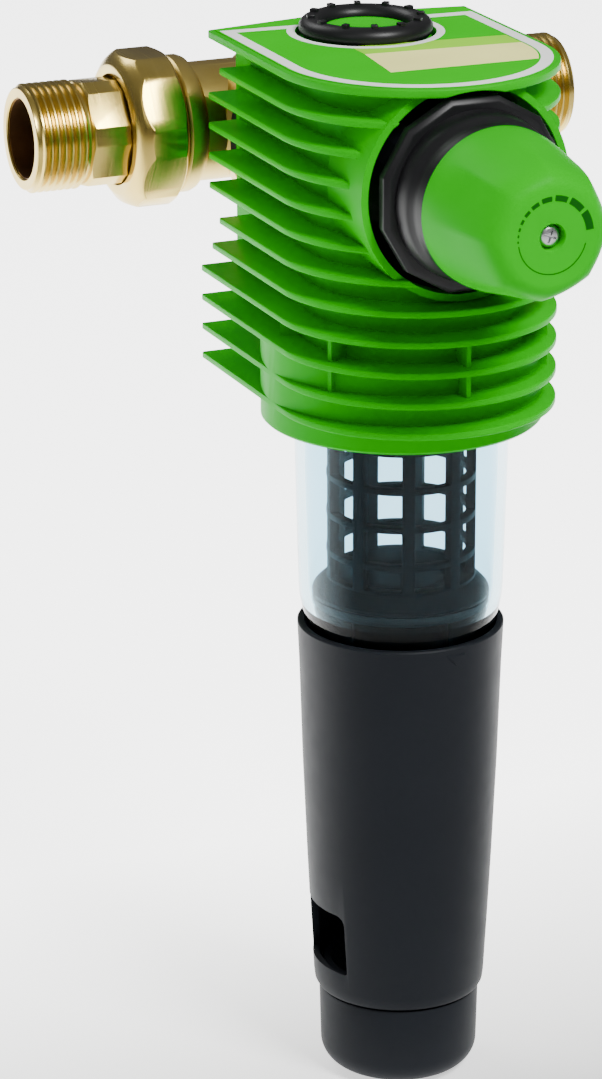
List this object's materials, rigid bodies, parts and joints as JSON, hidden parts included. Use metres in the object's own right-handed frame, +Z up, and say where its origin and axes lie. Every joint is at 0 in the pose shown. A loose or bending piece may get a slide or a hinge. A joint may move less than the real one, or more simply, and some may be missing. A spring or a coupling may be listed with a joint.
{
  "type": "backwash water filter with pressure reducer",
  "caption": "Whole-house backwash water filter with a pressure reducer, green ribbed hood, clear cup, long black drain bell and brass pipe unions.",
  "frame": {"origin": "on the pipe axis, midway between the ends of the two union tails", "axes": "+X along the pipe from the inlet to the outlet, +Y to the wall behind, +Z up"},
  "size_m": [0.1828, 0.2095, 0.3344],
  "materials": {
    "green_plastic": "semi-gloss moulded plastic, bright green",
    "black_plastic": "satin moulded plastic",
    "label_print": "printed sheet, green with a white outline and two pale stripes",
    "clear_plastic": "clear moulded plastic with a faint blue tint",
    "brass": "turned and blasted brass",
    "steel": "zinc-plated or stainless",
    "rubber": "matt moulded rubber",
    "ceramic": "lapped white ceramic"
  },
  "bodies": {
    "housing": {"connection_flange": "brass", "flange_gasket": "rubber", "flange_bolt_1": "steel", "flange_bolt_2": "steel", "flange_bolt_3": "steel", "flange_bolt_4": "steel", "inlet_union_tail": "brass", "outlet_union_tail": "brass", "inlet_union_gasket": "rubber", "outlet_union_gasket": "rubber", "head_body": "black_plastic", "hood": "green_plastic", "top_label": "label_print", "ring_hub": "green_plastic", "reducer_bonnet": "black_plastic", "diaphragm": "rubber", "valve_seat": "brass", "seat_seal": "rubber", "clear_cup": "clear_plastic", "cup_nut": "black_plastic", "cup_seal": "rubber", "filter_cage": "black_plastic", "filter_mesh": "steel", "cage_seal": "rubber", "drain_body": "black_plastic", "drain_seat_disc": "ceramic"},
    "inlet_nut": {"inlet_union_nut": "brass"},
    "outlet_nut": {"outlet_union_nut": "brass"},
    "month_ring": {"month_ring": "black_plastic"},
    "knob": {"adjusting_knob": "green_plastic", "knob_screw": "steel", "adjusting_spindle": "brass"},
    "spring_plate": {"spring_plate": "brass"},
    "valve": {"valve_stem": "brass", "diaphragm_plate": "brass", "reducer_spring": "steel"},
    "drain_handle": {"bell": "black_plastic", "bell_web": "black_plastic", "drain_foot": "black_plastic", "bell_drive": "brass", "bell_screw": "steel", "drain_turning_disc": "ceramic", "disc_spindle": "black_plastic"}
  },
  "joints": [
    {"name": "inlet_nut_turn", "type": "hinge", "parent": "housing", "child": "inlet_nut", "pos_m": [0, 0, 0], "axis": [1, 0, 0], "continuous": true},
    {"name": "outlet_nut_turn", "type": "hinge", "parent": "housing", "child": "outlet_nut", "pos_m": [0, 0, 0], "axis": [1, 0, 0], "continuous": true},
    {"name": "month_ring_turn", "type": "hinge", "parent": "housing", "child": "month_ring", "pos_m": [0, -0.0562, 0.0389], "axis": [0, 0, 1], "continuous": true},
    {"name": "knob_turn", "type": "hinge", "parent": "housing", "child": "knob", "pos_m": [0, -0.08375, 0.005], "axis": [0, -1, 0], "range_deg": [0, 720]},
    {"name": "spring_plate_slide", "type": "slide", "parent": "housing", "child": "spring_plate", "axis": [0, -1, 0], "range_m": [-0.0035, 0]},
    {"name": "valve_slide", "type": "slide", "parent": "housing", "child": "valve", "axis": [0, -1, 0], "range_m": [0, 0.0015], "stiffness_N_per_m": 4000},
    {"name": "drain_handle_turn", "type": "hinge", "parent": "housing", "child": "drain_handle", "pos_m": [0, -0.08375, -0.2], "axis": [0, 0, 1], "range_deg": [0, 90]}
  ],
  "couplings": [
    {"joint": "spring_plate_slide", "follows": "knob_turn", "m_per_rad": -0.00027852}
  ]
}
